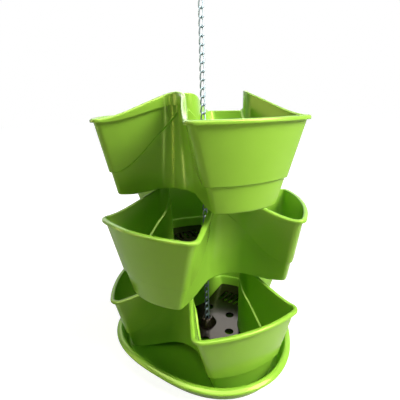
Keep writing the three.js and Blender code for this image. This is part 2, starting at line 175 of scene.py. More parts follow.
# %% [markdown]
# ## Zinc-plated steel
# Chain, hook and pin are drawn steel wire, bent and then zinc-plated. The coat has a cold cast, is a
# little cloudy where the crystals of zinc differ, and is duller in small patches. One noise drives
# tone and gloss together, so the darker patches are the duller ones. The real crystals are too
# fine to show, so they are drawn coarser.

# %% Sizes in the zinc coat, in mm
ZINC_CLOUD, ZINC_SCALE, ZINC_DEPTH = 3, 0.5, 0.05


# %% Zinc-plated wire
def zinc_plated_steel():
    """Plated wire with a cloudy, slightly blue coat."""
    made, tree = new_material("zinc_plated_steel")
    place = add_node(tree, "ShaderNodeTexCoord").outputs["Object"]
    cloud = add_node(tree, "ShaderNodeTexNoise", {
        "Vector": place, "Scale": 1 / (ZINC_CLOUD * MM), "Detail": 3.0})
    tone = add_node(tree, "ShaderNodeMix", {
        "Factor": cloud, "A": linear("#566267"), "B": linear("#88999c")}, data_type="RGBA")
    gloss = add_node(tree, "ShaderNodeMapRange", {"Value": cloud, "To Min": 0.56, "To Max": 0.44})
    scale = add_node(tree, "ShaderNodeTexNoise", {
        "Vector": place, "Scale": 1 / (ZINC_SCALE * MM), "Detail": 2.0})
    relief = add_node(tree, "ShaderNodeBump", {
        "Height": scale, "Strength": 0.2, "Distance": ZINC_DEPTH * MM})
    shader = add_node(tree, "ShaderNodeBsdfPrincipled", {
        "Base Color": tone.outputs["Result"], "Metallic": 1.0, "Roughness": gloss, "Normal": relief})
    add_node(tree, "ShaderNodeOutputMaterial", {"Surface": shader})
    return made


zinc = zinc_plated_steel()
print("material:", zinc.name)

# %% [markdown]
# ## From section to solid
# A moulded pot is one wall of even thickness that follows a closed section: out along the underside,
# up the outside, over the lip and back down inside. Drawn once round the axis as a set of rings, it
# is a closed skin with no pole. A section is given by its corners and how far each one is rounded,
# and the rounding is worked out here, at every place round the pot, because the heights differ.

# %% Section and skin helpers
ROOM_SHARE = 0.96


def at(offset, height):
    """A point of a section, as the complex number that the functions below work in."""
    return offset + 1j * height


def mix(a, b, share):
    return a + (b - a) * share


def rise(share, start_slope, end_slope):
    """Cubic rise from 0 to 1 with the given slopes at its two ends."""
    s = np.clip(share, 0, 1)
    return s * (1 - s) ** 2 * start_slope + s * s * (3 - 2 * s) + s * s * (s - 1) * end_slope


def rounded_section(corners, steps=4):
    """Rings of a section's points, with each corner rounded by the radius given beside it.

    Two corners share a short edge in the ratio of their radii, and a little of it stays straight.
    """
    points = [np.asarray(corner, complex) for corner, _ in corners]
    radii = [radius for _, radius in corners]
    rings = []
    for i, (point, radius) in enumerate(zip(points, radii)):
        if i in (0, len(points) - 1) or radius == 0:
            rings.append(point)
            continue
        back, ahead = points[i - 1] - point, points[i + 1] - point
        room_back = abs(back) * radius / (radius + radii[i - 1])
        room_ahead = abs(ahead) * radius / (radius + radii[i + 1])
        reach = np.minimum(radius, ROOM_SHARE * np.minimum(room_back, room_ahead))
        start = point + back / abs(back) * reach
        end = point + ahead / abs(ahead) * reach
        for k in range(steps + 1):
            s = k / steps
            rings.append((1 - s) ** 2 * start + 2 * (1 - s) * s * point + s * s * end)
    return rings


def skin(name, rings, material):
    """A closed mesh object from rings of points with the same count, in mm. The last meets the first."""
    count, around = len(rings), len(rings[0])
    points = np.concatenate([np.asarray(r, float) for r in rings]) * MM
    r = np.arange(count)[:, None]
    i = np.arange(around)[None, :]
    j, n = (i + 1) % around, (r + 1) % count
    corners = [r * around + i, r * around + j, n * around + j, n * around + i]
    faces = np.stack(corners, -1).reshape(-1, 4)
    mesh = bpy.data.meshes.new(name)
    mesh.from_pydata(points.tolist(), [], faces.tolist())
    mesh.polygons.foreach_set("use_smooth", [True] * len(mesh.polygons))
    mesh.materials.append(material)
    made = bpy.data.objects.new(name, mesh)
    bpy.context.scene.collection.objects.link(made)
    return made


# %% [markdown]
# ## The plan of a pot
# Seen from above, a pot has three lobes. Half a lobe is drawn once: a bowed front, a rounded corner,
# a straight side wall and an arc that bulges in towards the chain. All of it changes with height,
# because the lobes flare and the bulge gets tighter, and the heights of the lip, the step and the
# foot change along the side wall. So each station round the pot is worked out at its own height.

# %% Lobes and sizes of a pot, in mm
LOBES = 3
FOOT_CORNER = 114.5 + 42j
LIP_CORNER = 124.5 + 73j
FOOT_BOW, LIP_BOW = 10, 13
CORNER_RADIUS = 6.5
FOOT_VALLEY_REACH, CREST_VALLEY_REACH = 52, 53.2
FOOT_VALLEY_RADIUS, CREST_VALLEY_RADIUS = 50, 26
LIP_HEIGHT, CREST_HEIGHT = 104, 133.2
FRONT_STEP_HEIGHT, VALLEY_STEP_HEIGHT = 34, 108.9
RAISED_FLOOR = 8.3
WALL, FLOOR = 2.2, 2
STEP_DEPTH, STEP_RAMP = 2.7, 1.4
LIP_REACH, LIP_THICKNESS = 6.8, 2.4
SKIRT_THICKNESS, FRONT_SKIRT, VALLEY_SKIRT = 1.8, 4.8, 16.2
POCKET_REACH, POCKET_RAMP, FLOOR_SHELF = 92, 4, 4
POT_HOLE, HOLE_EDGE = 8, 0.4
BOTTOM_TIER, TIER_PITCH = 2.3, 125.2

# %% Shares and slopes on the way from a lobe's corner to the middle of the valley
SIDE_SHARE, SKIRT_SHARE = 0.74, 0.93
FOOT_RISE_START, FOOT_RISE_SHARE = 0.1, 0.75
LIP_SLOPES = (0.32, 1.02)
STEP_SLOPES = (0.23, 1.49)
CREST_ROUND = 0.19

# %% Stations round half a lobe
FRONT_STEPS, CORNER_STEPS, SIDE_STEPS, VALLEY_STEPS = 12, 8, 26, 26
segment = np.repeat([0, 1, 2, 3], [FRONT_STEPS + 1, CORNER_STEPS, SIDE_STEPS, VALLEY_STEPS])
segment_share = np.concatenate([np.linspace(0, 1, FRONT_STEPS + 1)] + [
    np.arange(1, n + 1) / n for n in (CORNER_STEPS, SIDE_STEPS, VALLEY_STEPS)])
way = np.choose(segment, [
    0 * segment_share, 0 * segment_share, SIDE_SHARE * segment_share, mix(SIDE_SHARE, 1, segment_share)])
print("stations round a pot:", 2 * LOBES * (len(way) - 1))


# %% Plan helpers
def dot(a, b):
    return (a * np.conj(b)).real


def half_lobe(height):
    """Points and outward normals of half a lobe, as complex numbers, each at its own height."""
    corner = mix(FOOT_CORNER, LIP_CORNER, height / LIP_HEIGHT)
    bow = mix(FOOT_BOW, LIP_BOW, height / LIP_HEIGHT)
    valley_reach = mix(FOOT_VALLEY_REACH, CREST_VALLEY_REACH, height / CREST_HEIGHT)
    valley_radius = mix(FOOT_VALLEY_RADIUS, CREST_VALLEY_RADIUS, height / CREST_HEIGHT)
    front_radius = (corner.imag ** 2 + bow ** 2) / (2 * bow)
    front_centre = corner.real + bow - front_radius
    valley_angle = math.pi / LOBES
    valley_centre = np.exp(1j * valley_angle) * (valley_reach + valley_radius)
    to_centre = valley_centre - corner
    side = np.exp(1j * (np.angle(to_centre) + np.arcsin(valley_radius / abs(to_centre))))
    side_normal = side * -1j
    side_end = corner + side * np.sqrt(abs(to_centre) ** 2 - valley_radius ** 2)
    inset = corner - side_normal * CORNER_RADIUS
    from_front = inset - front_centre
    along = dot(from_front, side)
    root = np.sqrt(along ** 2 - abs(from_front) ** 2 + (front_radius - CORNER_RADIUS) ** 2)
    round_centre = inset + side * np.where(-along - root > 0, -along - root, -along + root)
    round_start = np.angle(round_centre - front_centre)
    side_angle = np.angle(side_normal)
    s = segment_share
    front_ray = np.exp(1j * round_start * s)
    corner_ray = np.exp(1j * mix(round_start, side_angle, s))
    valley_ray = np.exp(1j * mix(side_angle, valley_angle, s))
    side_start = round_centre + side_normal * CORNER_RADIUS
    points = np.choose(segment, [
        front_centre + front_ray * front_radius, round_centre + corner_ray * CORNER_RADIUS,
        mix(side_start, side_end, s), valley_centre - valley_ray * valley_radius])
    normals = np.choose(segment, [front_ray, corner_ray, side_normal, valley_ray])
    return points, normals


def round_the_pot(half, height):
    """One ring round the whole pot, (n, 3), from half a lobe. The lobe towards -Y comes first."""
    ring, heights = [], []
    for lobe in range(LOBES):
        turn = np.exp(1j * (2 * math.pi * lobe / LOBES - math.pi / 2))
        ring += [half * turn, np.conj(half[-2:0:-1]) * turn * np.exp(2j * math.pi / LOBES)]
        heights += [height, height[-2:0:-1]]
    ring, heights = np.concatenate(ring), np.concatenate(heights)
    return np.stack([ring.real, ring.imag, heights], 1)


# %% Heights along the way
lip_fall = np.hypot(1 - rise(way, *LIP_SLOPES), CREST_ROUND) - CREST_ROUND
lip_height = mix(CREST_HEIGHT, LIP_HEIGHT, lip_fall / (math.hypot(1, CREST_ROUND) - CREST_ROUND))
step_height = mix(FRONT_STEP_HEIGHT, VALLEY_STEP_HEIGHT, rise(way, *STEP_SLOPES))
foot_height = RAISED_FLOOR * rise((way - FOOT_RISE_START) / FOOT_RISE_SHARE, 0, 0)
skirt_depth = mix(FRONT_SKIRT, VALLEY_SKIRT, np.minimum(1, way / SKIRT_SHARE))
print("lip, mm:", round(float(lip_height.min()), 1), "to", round(float(lip_height.max()), 1))


# %% [markdown]
# ## A pot
# Its section starts at the foot, steps outwards at the sweeping line, turns over in the lip and its
# skirt, and comes back down inside at the wall's thickness. The floor drops into the three feet and
# is raised in the middle, where the pot sits on the crests of the pot below it. A sheet with a
# Solidify modifier would be shorter to write, but wall, lip and skirt each have a thickness of
# their own, so both sides of the moulding are drawn.

# %% Roundings of a pot's wall, in mm
FOOT_ROUND, FOOT_FLAT, FLOOR_FLAT = 3, 4, 1
STEP_FOOT_ROUND, STEP_EDGE_ROUND, INNER_STEP_ROUND = 0.5, 0.6, 1.2
LIP_UNDER_ROUND, SKIRT_EDGE_ROUND = 0.8, 0.6
LIP_OUTER_ROUND, LIP_INNER_ROUND = 4.2, 1.6


# %% Wall of a pot
def pot_section():
    """The wall's section from the underside of the foot to the floor inside, at each station."""
    inner = STEP_DEPTH - WALL
    lip_under = lip_height - LIP_THICKNESS
    skirt_foot = lip_height - skirt_depth
    floor_top = foot_height + FLOOR
    corners = [
        (at(-FOOT_ROUND - FOOT_FLAT, foot_height), 0),
        (at(0, foot_height), FOOT_ROUND),
        (at(0, step_height - STEP_RAMP), STEP_FOOT_ROUND),
        (at(STEP_DEPTH, step_height), STEP_EDGE_ROUND),
        (at(STEP_DEPTH, lip_under), LIP_UNDER_ROUND),
        (at(LIP_REACH - SKIRT_THICKNESS, lip_under), LIP_UNDER_ROUND),
        (at(LIP_REACH - SKIRT_THICKNESS, skirt_foot), SKIRT_EDGE_ROUND),
        (at(LIP_REACH, skirt_foot), SKIRT_EDGE_ROUND),
        (at(LIP_REACH, lip_height), LIP_OUTER_ROUND),
        (at(inner, lip_height), LIP_INNER_ROUND),
        (at(inner, step_height + STEP_RAMP), INNER_STEP_ROUND),
        (at(-WALL, step_height), INNER_STEP_ROUND),
        (at(-WALL, floor_top), FOOT_ROUND),
        (at(-WALL - FOOT_ROUND - FLOOR_FLAT, floor_top), 0),
    ]
    return rounded_section(corners)


def wall_ring(section):
    height = section.imag
    points, normals = half_lobe(height)
    return round_the_pot(points + normals * section.real, height)


# %% Floor of a pot
RAMP_SHARES = (1, 0.9, 0.65, 0.35, 0.1, 0)


def floor_ring(height, reach, shelf):
    """A ring of the floor: the wall's inner foot drawn in towards the axis, to a set reach."""
    points, normals = half_lobe(foot_height)
    edge = points - normals * (WALL + FOOT_ROUND + FLOOR_FLAT)
    drawn_in = edge * np.minimum(reach, abs(edge) - shelf) / abs(edge)
    return round_the_pot(drawn_in, height + 0 * way)


def floor_ramp(low, high, extra):
    """The floor from the middle out: down into a foot over a soft ramp."""
    made = []
    for share in RAMP_SHARES:
        level = mix(low, high, share * share * (3 - 2 * share))
        reach = POCKET_REACH - extra - POCKET_RAMP * share
        made.append(floor_ring(level, reach, FLOOR_SHELF + extra + POCKET_RAMP * share))
    return made


def hole_ring(radius, height, around):
    angle = 2 * math.pi * np.arange(around) / around - math.pi / 2
    return np.stack([radius * np.cos(angle), radius * np.sin(angle), np.full(around, height)], 1)


# %% One pot
def stand_in_tier(made, tier):
    """Lifts a pot or an insert to its tier. Every second tier is turned by half a lobe's pitch."""
    turn = Matrix.Rotation(tier % 2 * math.pi / LOBES, 4, "Z")
    made.data.transform(Matrix.Translation((0, 0, (BOTTOM_TIER + tier * TIER_PITCH) * MM)) @ turn)


def pot(name, tier):
    """One pot, closed from the hole's edge below round its wall to the hole's edge above."""
    rings = [wall_ring(s) for s in pot_section()]
    around = len(rings[0])
    raised = RAISED_FLOOR + FLOOR
    under = [hole_ring(POT_HOLE, RAISED_FLOOR + HOLE_EDGE, around),
             hole_ring(POT_HOLE + HOLE_EDGE, RAISED_FLOOR, around)]
    under += floor_ramp(foot_height, RAISED_FLOOR, FLOOR / 2)
    over = floor_ramp(foot_height + FLOOR, raised, 0)[::-1]
    over += [hole_ring(POT_HOLE + HOLE_EDGE, raised, around), hole_ring(POT_HOLE, raised - HOLE_EDGE, around)]
    made = skin(name, under + rings + over, lime_polypropylene)
    stand_in_tier(made, tier)
    return made


# %% Three pots
TIERS = ["bottom", "middle", "top"]
for tier, tier_name in enumerate(TIERS):
    piece = pot(f"{tier_name}_pot_shell", tier)
    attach(piece, f"{tier_name}_pot")
    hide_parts(f"{tier_name}_pot")
    print(piece.name, "faces:", len(piece.data.polygons))

# %% [markdown]
# ## The saucer
# The saucer is a rounded triangle whose radius follows one rule: a mean radius and a bow that comes
# three times in a turn. That makes it a job for Geometry Nodes: a section is swept round a circle,
# and each point is then pushed out by the rule. Near the middle the bow fades out, so the boss that
# carries the pot stays round.


# %% Geometry Nodes helpers
def new_tree(name, sizes):
    """A Geometry Nodes tree, and its inputs to link from: Geometry and one number for each size."""
    tree = bpy.data.node_groups.new(name, "GeometryNodeTree")
    tree.interface.new_socket("Geometry", in_out="INPUT", socket_type="NodeSocketGeometry")
    for size in sizes:
        tree.interface.new_socket(size, in_out="INPUT", socket_type="NodeSocketFloat")
    tree.interface.new_socket("Geometry", in_out="OUTPUT", socket_type="NodeSocketGeometry")
    return tree, add_node(tree, "NodeGroupInput").outputs


def finish_tree(tree, geometry, material):
    """Ends a tree in Realize Instances and Set Material."""
    real = add_node(tree, "GeometryNodeRealizeInstances", {"Geometry": geometry})
    painted = add_node(tree, "GeometryNodeSetMaterial", {"Geometry": real, "Material": material})
    add_node(tree, "NodeGroupOutput", {"Geometry": painted})
    return tree


def grow(name, tree, sizes, base_points=(), base_edges=()):
    """Runs a tree on a base mesh with its sizes set, and gives the result as a plain mesh object."""
    base = bpy.data.meshes.new(name)
    base.from_pydata([tuple(p) for p in base_points], list(base_edges), [])
    made = bpy.data.objects.new(name, base)
    bpy.context.scene.collection.objects.link(made)
    modifier = made.modifiers.new(name, "NODES")
    modifier.node_group = tree
    for item in tree.interface.items_tree:
        if item.in_out == "INPUT" and item.name in sizes:
            modifier[item.identifier] = float(sizes[item.name])
    evaluated = made.evaluated_get(bpy.context.evaluated_depsgraph_get())
    mesh = bpy.data.meshes.new_from_object(evaluated)
    made.modifiers.remove(modifier)
    made.data = mesh
    mesh.name = name
    mesh.polygons.foreach_set("use_smooth", [True] * len(mesh.polygons))
    return made


def chain_of_edges(count, closed):
    return [(i, (i + 1) % count) for i in range(count if closed else count - 1)]


# %% Saucer rule
SAUCER_STATIONS = 288
SWEEP_RADIUS = 1.0


def saucer_tree():
    """A section as a loop of edges in, the dish out. It is swept a metre wide and then drawn in."""
    tree, given = new_tree("saucer_rule", ["Bow", "Fade start", "Fade end"])
    section = add_node(tree, "GeometryNodeMeshToCurve", {"Mesh": given["Geometry"]})
    circle = add_node(tree, "GeometryNodeCurvePrimitiveCircle", {
        "Resolution": SAUCER_STATIONS, "Radius": SWEEP_RADIUS})
    swept = add_node(tree, "GeometryNodeCurveToMesh", {"Curve": circle, "Profile Curve": section})
    place = add_node(tree, "GeometryNodeInputPosition")
    x, y, z = add_node(tree, "ShaderNodeSeparateXYZ", {0: place}).outputs
    angle = add_node(tree, "ShaderNodeMath", {0: y, 1: x}, operation="ARCTAN2")
    x_squared = add_node(tree, "ShaderNodeMath", {0: x, 1: x}, operation="MULTIPLY")
    y_squared = add_node(tree, "ShaderNodeMath", {0: y, 1: y}, operation="MULTIPLY")
    squared = add_node(tree, "ShaderNodeMath", {0: x_squared, 1: y_squared}, operation="ADD")
    far_out = add_node(tree, "ShaderNodeMath", {0: squared}, operation="SQRT")
    radius = add_node(tree, "ShaderNodeMath", {0: far_out, 1: SWEEP_RADIUS}, operation="SUBTRACT")
    from_front = add_node(tree, "ShaderNodeMath", {0: angle, 1: math.pi / 2}, operation="ADD")
    three_fold = add_node(tree, "ShaderNodeMath", {0: from_front, 1: LOBES}, operation="MULTIPLY")
    wave = add_node(tree, "ShaderNodeMath", {0: three_fold}, operation="COSINE")
    fade = add_node(tree, "ShaderNodeMapRange", {
        "Value": radius, "From Min": given["Fade start"], "From Max": given["Fade end"]},
        interpolation_type="SMOOTHSTEP")
    full_bow = add_node(tree, "ShaderNodeMath", {0: given["Bow"], 1: wave}, operation="MULTIPLY")
    bow = add_node(tree, "ShaderNodeMath", {0: full_bow, 1: fade}, operation="MULTIPLY")
    reach = add_node(tree, "ShaderNodeMath", {0: radius, 1: bow}, operation="ADD")
    cosine = add_node(tree, "ShaderNodeMath", {0: angle}, operation="COSINE")
    sine = add_node(tree, "ShaderNodeMath", {0: angle}, operation="SINE")
    moved_x = add_node(tree, "ShaderNodeMath", {0: reach, 1: cosine}, operation="MULTIPLY")
    moved_y = add_node(tree, "ShaderNodeMath", {0: reach, 1: sine}, operation="MULTIPLY")
    moved = add_node(tree, "ShaderNodeCombineXYZ", {0: moved_x, 1: moved_y, 2: z})
    bent = add_node(tree, "GeometryNodeSetPosition", {"Geometry": swept, "Position": moved})
    return finish_tree(tree, bent, lime_polypropylene)


# %% Sizes of the saucer, in mm
SAUCER_MEAN, SAUCER_BOW, SAUCER_HEIGHT = 140, 9, 27
BOW_FADE_START, BOW_FADE_END = 30, 100
SAUCER_FLOOR, SAUCER_WALL, SAUCER_FLARE = 2, 2.2, 8
SAUCER_ROUND, SAUCER_INNER_ROUND = 3, 4
RIM_WIDTH, RIM_DROP, RIM_TUCK, RIM_DRAFT = 8, 6.5, 2.2, 0.3
RIM_NECK_ROUND, RIM_EDGE_ROUND = 1.5, 1.2
SHOULDER_WIDTH, SHOULDER_DROP = 4.8, 3.2
SHOULDER_ROUND, RIM_TOP_ROUND, RIM_INNER_ROUND = 2.4, 3.0, 3.6
BOSS_RADIUS, BOSS_DRAFT, BOSS_HOLE, BOSS_TOP = 19, 2.5, 5.6, 10.3
BOSS_HOLE_EDGE, BOSS_EDGE_ROUND, BOSS_INNER_ROUND, BOSS_FOOT_ROUND = 0.3, 0.8, 1.0, 1.5


# %% Saucer section and dish
def saucer_section():
    """The closed section as (radius, height): boss, floor, leaning wall and rolled rim."""
    wall = SAUCER_MEAN - RIM_WIDTH + SAUCER_WALL / 2
    foot = wall - SAUCER_FLARE
    under = SAUCER_HEIGHT - RIM_DROP
    boss_under = BOSS_TOP - SAUCER_FLOOR
    boss_foot = BOSS_RADIUS + BOSS_DRAFT
    corners = [
        (at(BOSS_HOLE, boss_under), BOSS_HOLE_EDGE),
        (at(BOSS_RADIUS - SAUCER_WALL, boss_under), BOSS_INNER_ROUND),
        (at(boss_foot - SAUCER_WALL, 0), BOSS_EDGE_ROUND),
        (at(foot, 0), SAUCER_ROUND),
        (at(wall, under + RIM_TUCK), RIM_NECK_ROUND),
        (at(SAUCER_MEAN - RIM_TUCK, under), RIM_EDGE_ROUND),
        (at(SAUCER_MEAN, under + RIM_EDGE_ROUND), RIM_EDGE_ROUND),
        (at(SAUCER_MEAN - RIM_DRAFT, SAUCER_HEIGHT - SHOULDER_DROP), SHOULDER_ROUND),
        (at(SAUCER_MEAN - SHOULDER_WIDTH, SAUCER_HEIGHT), RIM_TOP_ROUND),
        (at(wall - SAUCER_WALL, SAUCER_HEIGHT), RIM_INNER_ROUND),
        (at(foot - SAUCER_WALL, SAUCER_FLOOR), SAUCER_INNER_ROUND),
        (at(boss_foot, SAUCER_FLOOR), BOSS_FOOT_ROUND),
        (at(BOSS_RADIUS, BOSS_TOP), BOSS_EDGE_ROUND),
        (at(BOSS_HOLE, BOSS_TOP), BOSS_HOLE_EDGE),
    ]
    corners = [corners[-1]] + corners + [corners[0]]
    return np.array(rounded_section(corners)[1:-1])


saucer_sizes = {"Bow": SAUCER_BOW * MM, "Fade start": BOW_FADE_START * MM, "Fade end": BOW_FADE_END * MM}
section_points = [(p.real * MM, -p.imag * MM, 0) for p in saucer_section()]
saucer = grow("saucer_dish", saucer_tree(), saucer_sizes, section_points,
              chain_of_edges(len(section_points), True))
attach(saucer, "root")
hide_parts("saucer")
print(saucer.name, "faces:", len(saucer.data.polygons), "box:", [round(v / MM, 1) for v in saucer.dimensions])

# %% [markdown]
# ## The watering insert
# A perforated plate lies in each pot over the drained water: round holes about its middle and a
# grating of slots in every lobe. Holes that repeat are a job for Geometry Nodes: the plate's outline
# comes in as a loop of edges, circles and slots are placed as curves inside it, and Fill Curve turns
# the whole drawing into a sheet with holes, which is then given its thickness.

# %% Sizes and counts of an insert, in mm
SEAT_GAP = 0.3
PLATE_TOP, PLATE_THICKNESS, PLATE_CLEARANCE = 20, 2, 1
DRAIN_RADIUS, DRAIN_REACH, DRAIN_COUNT = 7, 42, 6
SLOT_START, SLOT_END, SLOT_PITCH, SLOT_WIDTH, SLOT_COUNT = 67, 97, 10, 6, 5
CONE_HEIGHT, CONE_FOOT, CONE_TOP, CHAIN_HOLE = 11, 15.6, 8.6, 5.7
CONE_WALL, CONE_TOP_WALL, CONE_OVERLAP = 2, 1, 0.4
CONE_EDGE_ROUND, CONE_SHOULDER_ROUND, CONE_TOP_ROUND, CHAIN_HOLE_ROUND = 0.3, 2.0, 1.2, 0.5
CONE_INNER_TOP_ROUND, CONE_INNER_ROUND = 0.8, 1.0
LEG_RADIUS, LEG_REACH, LEG_OVERLAP, LEG_EDGE_ROUND, LEG_CORE = 4, 105, 0.5, 0.6, 0.4
WELD = 0.005

# %% Rounding and fineness of an insert
SLOT_ROUND_SHARE = 0.3
DRAIN_POINTS, MIDDLE_POINTS, SLOT_ROUND_POINTS = 40, 72, 5
SHARP_ANGLE = math.radians(40)


# %% Plate tree
def plate_tree():
    """An outline of edges in, a perforated plate with thickness out."""
    tree, size = new_tree("perforated_plate", [
        "Drain radius", "Drain reach", "Slot length", "Slot width", "Slot pitch", "Slot reach", "Middle hole",
        "Thickness"])
    outline = add_node(tree, "GeometryNodeMeshToCurve", {"Mesh": size["Geometry"]})

    ring = add_node(tree, "GeometryNodeCurvePrimitiveCircle", {
        "Resolution": DRAIN_COUNT, "Radius": size["Drain reach"]})
    hole = add_node(tree, "GeometryNodeCurvePrimitiveCircle", {
        "Resolution": DRAIN_POINTS, "Radius": size["Drain radius"]})
    spots = add_node(tree, "GeometryNodeCurveToPoints", {"Curve": ring}, mode="EVALUATED")
    holes = add_node(tree, "GeometryNodeInstanceOnPoints", {"Points": spots, "Instance": hole})
    middle = add_node(tree, "GeometryNodeCurvePrimitiveCircle", {
        "Resolution": MIDDLE_POINTS, "Radius": size["Middle hole"]})

    bar = add_node(tree, "GeometryNodeCurvePrimitiveQuadrilateral", {
        "Width": size["Slot width"], "Height": size["Slot length"]})
    rounding = add_node(tree, "ShaderNodeMath", {0: size["Slot width"], 1: SLOT_ROUND_SHARE},
                        operation="MULTIPLY")
    slot = add_node(tree, "GeometryNodeFilletCurve", {
        "Curve": bar, "Radius": rounding, "Count": SLOT_ROUND_POINTS}, mode="POLY")
    row_start = add_node(tree, "ShaderNodeMath", {0: size["Slot pitch"], 1: -(SLOT_COUNT - 1) / 2},
                         operation="MULTIPLY")
    row_reach = add_node(tree, "ShaderNodeMath", {0: size["Slot reach"], 1: -1}, operation="MULTIPLY")
    start = add_node(tree, "ShaderNodeCombineXYZ", {0: row_start, 1: row_reach})
    step = add_node(tree, "ShaderNodeCombineXYZ", {0: size["Slot pitch"]})
    row = add_node(tree, "GeometryNodeMeshLine", {
        "Count": SLOT_COUNT, "Start Location": start, "Offset": step})
    slots = add_node(tree, "GeometryNodeInstanceOnPoints", {"Points": row, "Instance": slot})
    parts = [outline, holes, middle]
    for lobe in range(LOBES):
        turned = add_node(tree, "GeometryNodeTransform", {
            "Geometry": slots, "Rotation": (0, 0, 2 * math.pi * lobe / LOBES)})
        parts.append(turned)

    drawing = add_node(tree, "GeometryNodeJoinGeometry")
    for part in parts:
        tree.links.new(part.outputs[0], drawing.inputs[0])
    flat = add_node(tree, "GeometryNodeRealizeInstances", {"Geometry": drawing})
    sheet = add_node(tree, "GeometryNodeFillCurve", {"Curve": flat})
    upwards = add_node(tree, "ShaderNodeCombineXYZ", {2: 1.0})
    raised = add_node(tree, "GeometryNodeExtrudeMesh", {
        "Mesh": sheet, "Offset": upwards, "Offset Scale": size["Thickness"], "Individual": False})
    under = add_node(tree, "GeometryNodeFlipFaces", {"Mesh": sheet})
    both = add_node(tree, "GeometryNodeJoinGeometry")
    for part in (raised, under):
        tree.links.new(part.outputs[0], both.inputs[0])
    welded = add_node(tree, "GeometryNodeMergeByDistance", {"Geometry": both, "Distance": WELD * MM})
    return finish_tree(tree, welded, brown_black_polypropylene)


# %% Turned pieces
def lathe(name, corners, material, around=72):
    """A closed section of (radius, height) corners, turned round the Z axis."""
    corners = [corners[-1]] + list(corners) + [corners[0]]
    angle = 2 * math.pi * np.arange(around) / around
    rings = [np.stack([p.real * np.cos(angle), p.real * np.sin(angle), np.full(around, p.imag)], 1)
             for p in rounded_section(corners)[1:-1]]
    return skin(name, rings, material)


def cone():
    """The hollow hub round the chain, from the pot's raised floor up through the plate."""
    foot = RAISED_FLOOR + FLOOR + SEAT_GAP
    top = PLATE_TOP + CONE_HEIGHT
    inner_foot = CONE_FOOT - CONE_WALL - CONE_OVERLAP
    return lathe("cone", [
        (at(CONE_FOOT, foot), CONE_EDGE_ROUND),
        (at(CONE_FOOT, PLATE_TOP), CONE_SHOULDER_ROUND),
        (at(CONE_TOP, top), CONE_TOP_ROUND),
        (at(CHAIN_HOLE, top), CHAIN_HOLE_ROUND),
        (at(CHAIN_HOLE, top - CONE_WALL), CHAIN_HOLE_ROUND),
        (at(CONE_TOP - CONE_TOP_WALL, top - CONE_WALL), CONE_INNER_TOP_ROUND),
        (at(inner_foot, PLATE_TOP), CONE_INNER_ROUND),
        (at(inner_foot, foot), CONE_EDGE_ROUND),
    ], brown_black_polypropylene)


def leg(lobe):
    """One leg, from the floor of its foot up into the plate."""
    low = FLOOR + SEAT_GAP
    high = PLATE_TOP - PLATE_THICKNESS + LEG_OVERLAP
    made = lathe("leg", [
        (at(LEG_CORE, low), 0),
        (at(LEG_RADIUS, low), LEG_EDGE_ROUND),
        (at(LEG_RADIUS, high), 0),
        (at(LEG_CORE, high), 0),
    ], brown_black_polypropylene, around=32)
    angle = 2 * math.pi * lobe / LOBES - math.pi / 2
    place = (LEG_REACH * math.cos(angle) * MM, LEG_REACH * math.sin(angle) * MM, 0)
    made.data.transform(Matrix.Translation(place))
    return made


def join(name, pieces):
    """Several mesh objects as one, with their vertices as they stand."""
    with bpy.context.temp_override(active_object=pieces[0], selected_editable_objects=pieces):
        bpy.ops.object.join()
    pieces[0].name = pieces[0].data.name = name
    return pieces[0]


# %% Three inserts
plate_height = PLATE_TOP - PLATE_THICKNESS
plate_points, plate_normals = half_lobe(np.full(len(way), float(plate_height)))
plate_ring = round_the_pot(plate_points - plate_normals * (WALL + PLATE_CLEARANCE), np.zeros(len(way)))
insert_plate_tree = plate_tree()
insert_sizes = {
    "Drain radius": DRAIN_RADIUS * MM, "Drain reach": DRAIN_REACH * MM, "Thickness": PLATE_THICKNESS * MM,
    "Slot length": (SLOT_END - SLOT_START) * MM, "Slot width": SLOT_WIDTH * MM,
    "Slot pitch": SLOT_PITCH * MM, "Slot reach": (SLOT_START + SLOT_END) / 2 * MM,
    "Middle hole": (CONE_FOOT - CONE_WALL) * MM}


def insert(name, tier):
    """Plate, hollow cone round the chain and three legs, as one moulding."""
    plate = grow(name, insert_plate_tree, insert_sizes, plate_ring * MM,
                 chain_of_edges(len(plate_ring), True))
    plate.data.transform(Matrix.Translation((0, 0, plate_height * MM)))
    made = join(name, [plate, cone()] + [leg(lobe) for lobe in range(LOBES)])
    stand_in_tier(made, tier)
    made.data.set_sharp_from_angle(angle=SHARP_ANGLE)
    return made


for tier, tier_name in enumerate(TIERS):
    piece = insert(f"{tier_name}_insert_moulding", tier)
    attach(piece, f"{tier_name}_insert")
    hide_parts(f"{tier_name}_insert")
    print(piece.name, "faces:", len(piece.data.polygons))

# %% [markdown]
# ## The chain
# Each link is an oval of wire that was twisted by a quarter turn after welding, so that every link
# lies the same way round and the chain hangs flat. One link is bent in a Geometry Nodes tree from a
# circle: stretched to an oval, turned in proportion to its height, and given the wire's thickness.
# All links are alike, so the same tree repeats it up a line, a link's inner length apart but for a
# small gap, so that no two links touch.

# %% Sizes of the chain, in mm
WIRE, LINK_LENGTH, LINK_WIDTH = 2, 11, 4
LINK_PITCH, FIRST_LINK = LINK_LENGTH - SEAT_GAP, 10.2

# %% Twist, count and fineness of the links
LINK_TWIST, LINK_COUNT = math.pi / 2, 47
LINK_POINTS, LINK_SIDES = 36, 10
LEG_SPAN_SHARE = 0.35


